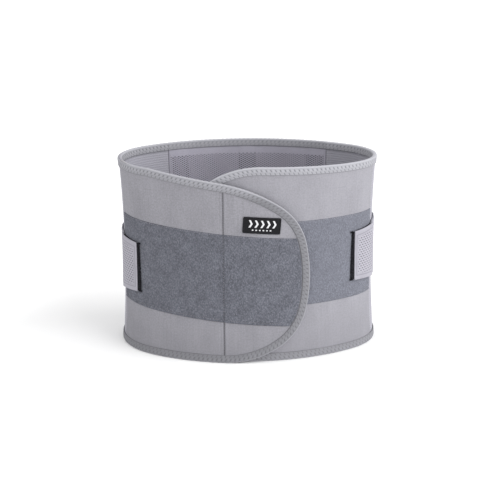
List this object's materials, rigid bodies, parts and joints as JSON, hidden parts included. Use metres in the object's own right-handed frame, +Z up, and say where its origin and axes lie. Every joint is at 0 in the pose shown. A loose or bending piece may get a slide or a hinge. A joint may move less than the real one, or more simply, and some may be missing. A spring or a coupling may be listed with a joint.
{
  "type": "lumbar support belt",
  "caption": "Fastened lumbar support belt: padded cloth wings lap at the front over loop bands, with a stayed back, side pull straps and hook tabs.",
  "frame": {"origin": "centre of the waist opening, in the plane of the lower rim", "axes": "+Z up the wearer's trunk; -Y to the front, where the wings lap; +Y to the back panel; +X to the side of the inner wing"},
  "size_m": [0.283, 0.1953, 0.2089],
  "materials": {
    "face_cloth": "matte",
    "loop_cloth": "matte",
    "foam": "matte",
    "lining_cloth": "matte",
    "mesh_lining": "matte",
    "binding_tape": "matte",
    "side_elastic": "matte",
    "back_cloth": "matte",
    "strap_webbing": "matte",
    "tab_cloth": "satin",
    "hook_tape": "matte",
    "channel_tape": "matte",
    "cap_plastic": "satin",
    "spring_steel": "satin",
    "label_rubber": "satin"
  },
  "bodies": {
    "back": {"back_binding_bottom": "binding_tape", "back_binding_top": "binding_tape", "back_mesh_lining": "mesh_lining", "back_outer_cover": "back_cloth", "left_side_elastic_rear": "side_elastic", "left_strap_rear": "strap_webbing", "right_side_elastic_rear": "side_elastic", "right_strap_rear": "strap_webbing", "stay_1": "spring_steel", "stay_2": "spring_steel", "stay_3": "spring_steel", "stay_channel_1": "channel_tape", "stay_channel_2": "channel_tape", "stay_channel_3": "channel_tape", "stay_end_caps": "cap_plastic", "strap_anchor_filler": "strap_webbing", "strap_anchor_patch": "back_cloth"},
    "left_wing": {"left_side_elastic_front": "side_elastic", "left_strap_side": "strap_webbing", "left_wing_binding_bottom": "binding_tape", "left_wing_binding_top": "binding_tape", "left_wing_face": "face_cloth", "left_wing_foam": "foam", "left_wing_lining": "lining_cloth", "left_wing_loop": "loop_cloth"},
    "left_tip": {"label": "label_rubber", "left_tip_binding": "binding_tape", "left_tip_face": "face_cloth", "left_tip_foam": "foam", "left_tip_hook": "hook_tape", "left_tip_lining": "lining_cloth", "left_tip_loop": "loop_cloth"},
    "right_wing": {"right_side_elastic_front": "side_elastic", "right_strap_side": "strap_webbing", "right_wing_binding": "binding_tape", "right_wing_face": "face_cloth", "right_wing_foam": "foam", "right_wing_lining": "lining_cloth", "right_wing_loop": "loop_cloth"},
    "left_strap": {"left_strap_lead": "strap_webbing", "left_strap_stretch": "strap_webbing"},
    "left_tab": {"left_strap_end": "strap_webbing", "left_tab_cover": "tab_cloth", "left_tab_hook": "hook_tape"},
    "right_strap": {"right_strap_lead": "strap_webbing", "right_strap_stretch": "strap_webbing"},
    "right_tab": {"right_strap_end": "strap_webbing", "right_tab_cover": "tab_cloth", "right_tab_hook": "hook_tape"}
  },
  "joints": [
    {"name": "left_wing_swing", "type": "hinge", "parent": "back", "child": "left_wing", "pos_m": [-0.13297, 0.03257, 0.1025], "axis": [0, 0, -1], "range_deg": [0, 85]},
    {"name": "right_wing_swing", "type": "hinge", "parent": "back", "child": "right_wing", "pos_m": [0.13297, 0.03257, 0.1025], "axis": [0, 0, 1], "range_deg": [0, 55.25]},
    {"name": "left_tip_fold", "type": "hinge", "parent": "left_wing", "child": "left_tip", "pos_m": [-0.0255, -0.09919, 0.1025], "axis": [0, 0, -1], "range_deg": [0, 120]},
    {"name": "left_strap_swing", "type": "hinge", "parent": "left_wing", "child": "left_strap", "pos_m": [-0.13844, 0.00986, 0.1025], "axis": [0, 0, -1], "range_deg": [0, 80]},
    {"name": "left_strap_pull", "type": "slide", "parent": "left_strap", "child": "left_tab", "axis": [0, -1, 0], "range_m": [0, 0.045], "stiffness_N_per_m": 120, "deforming": ["left_strap_stretch"]},
    {"name": "right_strap_swing", "type": "hinge", "parent": "right_wing", "child": "right_strap", "pos_m": [0.13825, 0.00983, 0.1025], "axis": [0, 0, 1], "range_deg": [0, 80]},
    {"name": "right_strap_pull", "type": "slide", "parent": "right_strap", "child": "right_tab", "axis": [0, -1, 0], "range_m": [0, 0.045], "stiffness_N_per_m": 120, "deforming": ["right_strap_stretch"]}
  ],
  "couplings": [
    {"joint": "right_wing_swing", "follows": "left_wing_swing", "ratio": 0.65}
  ]
}
